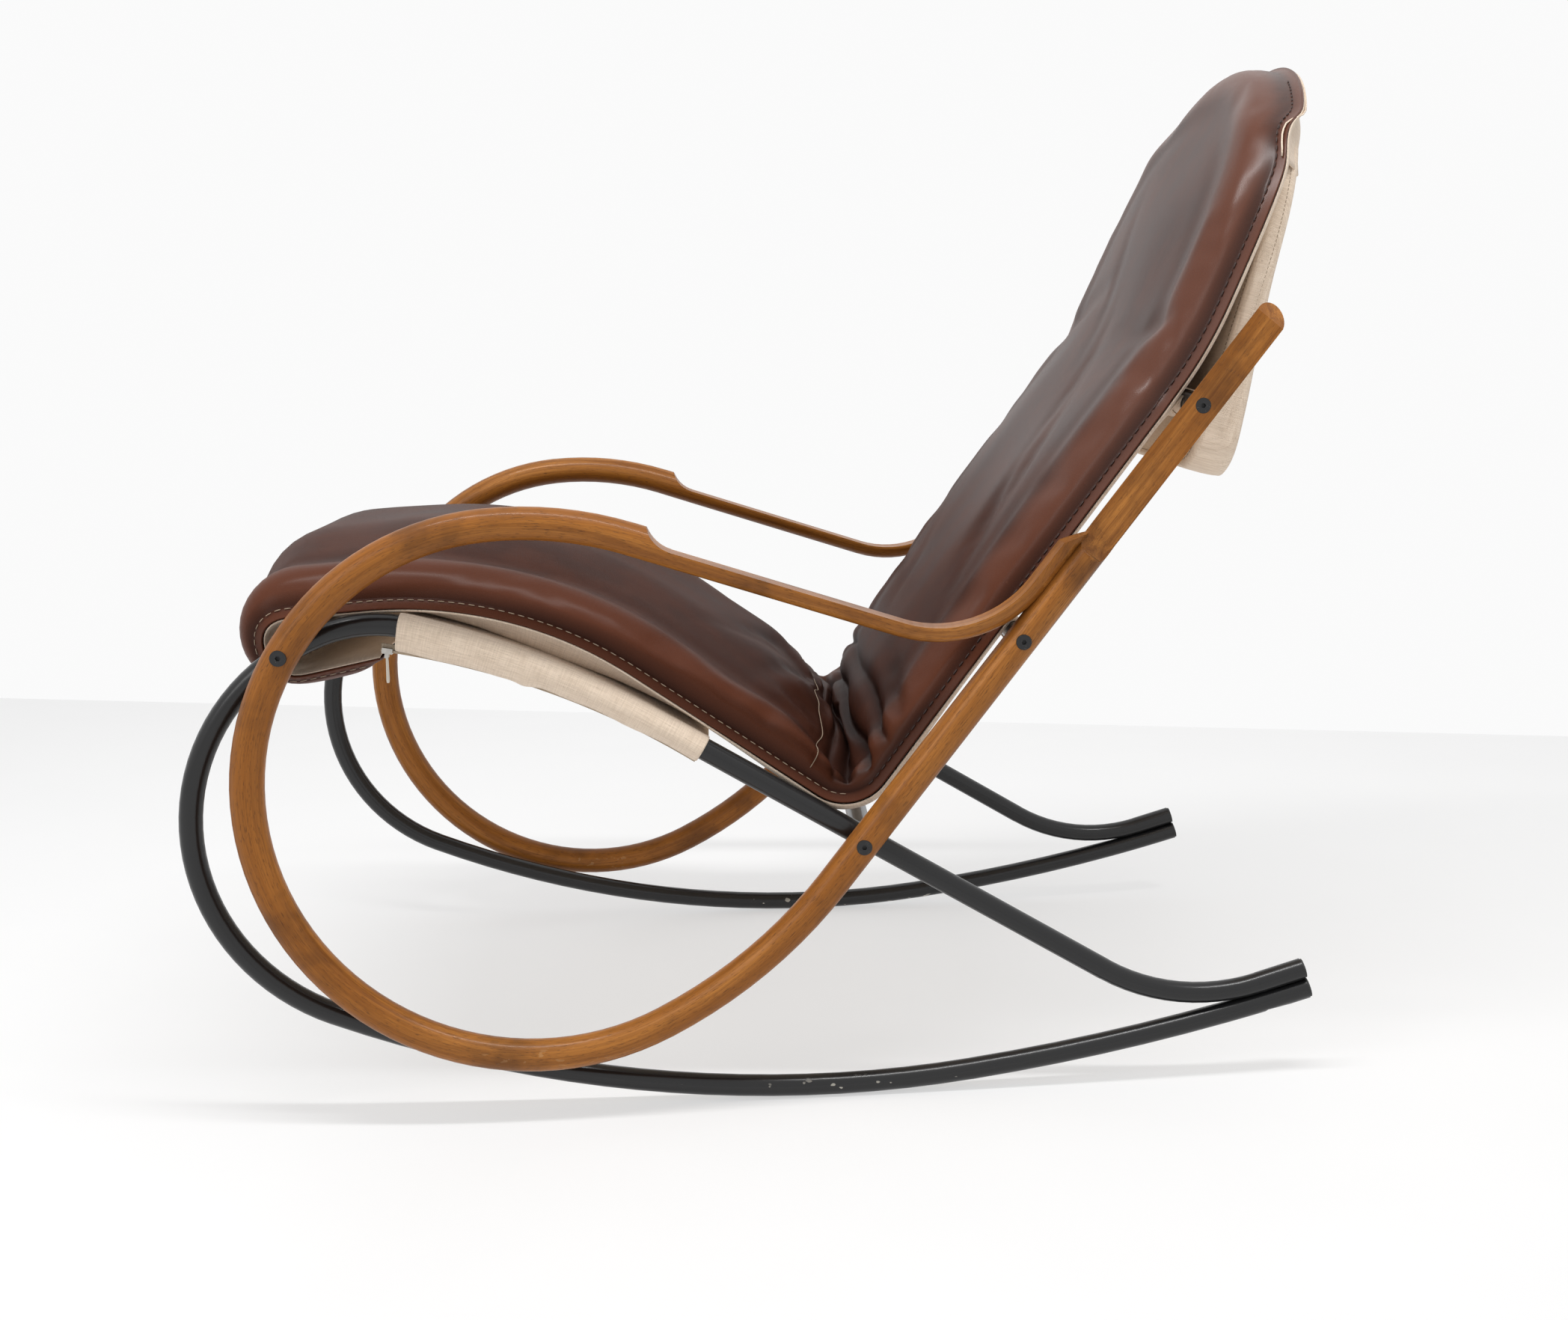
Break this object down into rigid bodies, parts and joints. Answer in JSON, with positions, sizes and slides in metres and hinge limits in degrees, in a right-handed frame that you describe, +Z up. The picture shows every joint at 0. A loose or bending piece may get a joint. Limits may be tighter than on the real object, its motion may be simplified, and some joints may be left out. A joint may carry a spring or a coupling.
{
  "type": "rocking chair",
  "caption": "Rocking chair with continuous bentwood arm rails on black steel tube runners, a linen sling seat, a linen head panel and a one-piece leather pad.",
  "frame": {"origin": "on the floor under the middle of the chair's bounding box", "axes": "+X from the front to the back, +Y to the sitter's right, +Z up"},
  "size_m": [1.0579, 0.65, 0.9701],
  "materials": {
    "steel": "black lacquer, satin",
    "plug": "moulded, matt",
    "beech": "amber stain under clear lacquer",
    "bare_steel": "plated",
    "black_steel": "black oxide, matt",
    "linen": "plain weave, natural",
    "zip_tape": "woven tape with moulded teeth",
    "pull": "cream, moulded",
    "leather": "dark red-brown, semi-gloss"
  },
  "bodies": {
    "chair": {"left_runner": "steel", "right_runner": "steel", "runner_end_plugs": "plug", "left_bent_rail": "beech", "right_bent_rail": "beech", "front_cross_tube": "steel", "rear_cross_tube": "steel", "lower_back_tube": "steel", "upper_back_tube": "steel", "threaded_inserts": "bare_steel", "frame_screws": "black_steel", "rail_washers": "black_steel", "arm_dowels": "beech", "left_seat_sleeve": "linen", "right_seat_sleeve": "linen", "seat_sling": "linen", "back_sling": "linen", "left_zip": "zip_tape", "right_zip": "zip_tape", "head_board": "beech", "head_cover": "linen", "head_loops": "linen", "seat_pad": "leather", "back_pad": "leather", "seat_backing": "linen", "back_backing": "linen", "head_pocket": "linen"},
    "left_slider": {"left_zip_slider": "bare_steel"},
    "right_slider": {"right_zip_slider": "bare_steel"},
    "left_tab": {"left_pull_tab": "pull"},
    "right_tab": {"right_pull_tab": "pull"}
  },
  "joints": [
    {"name": "left_zip_run", "type": "hinge", "parent": "chair", "child": "left_slider", "pos_m": [-0.47223, -0.273, -0.26769], "axis": [0, 1, 0], "range_deg": [0, 21]},
    {"name": "right_zip_run", "type": "hinge", "parent": "chair", "child": "right_slider", "pos_m": [-0.47223, 0.273, -0.26769], "axis": [0, 1, 0], "range_deg": [0, 21]},
    {"name": "left_tab_swing", "type": "hinge", "parent": "left_slider", "child": "left_tab", "pos_m": [-0.34905, -0.273, 0.41672], "axis": [0, 1, 0], "range_deg": [-50, 28]},
    {"name": "right_tab_swing", "type": "hinge", "parent": "right_slider", "child": "right_tab", "pos_m": [-0.34905, 0.273, 0.41672], "axis": [0, 1, 0], "range_deg": [-50, 28]}
  ]
}
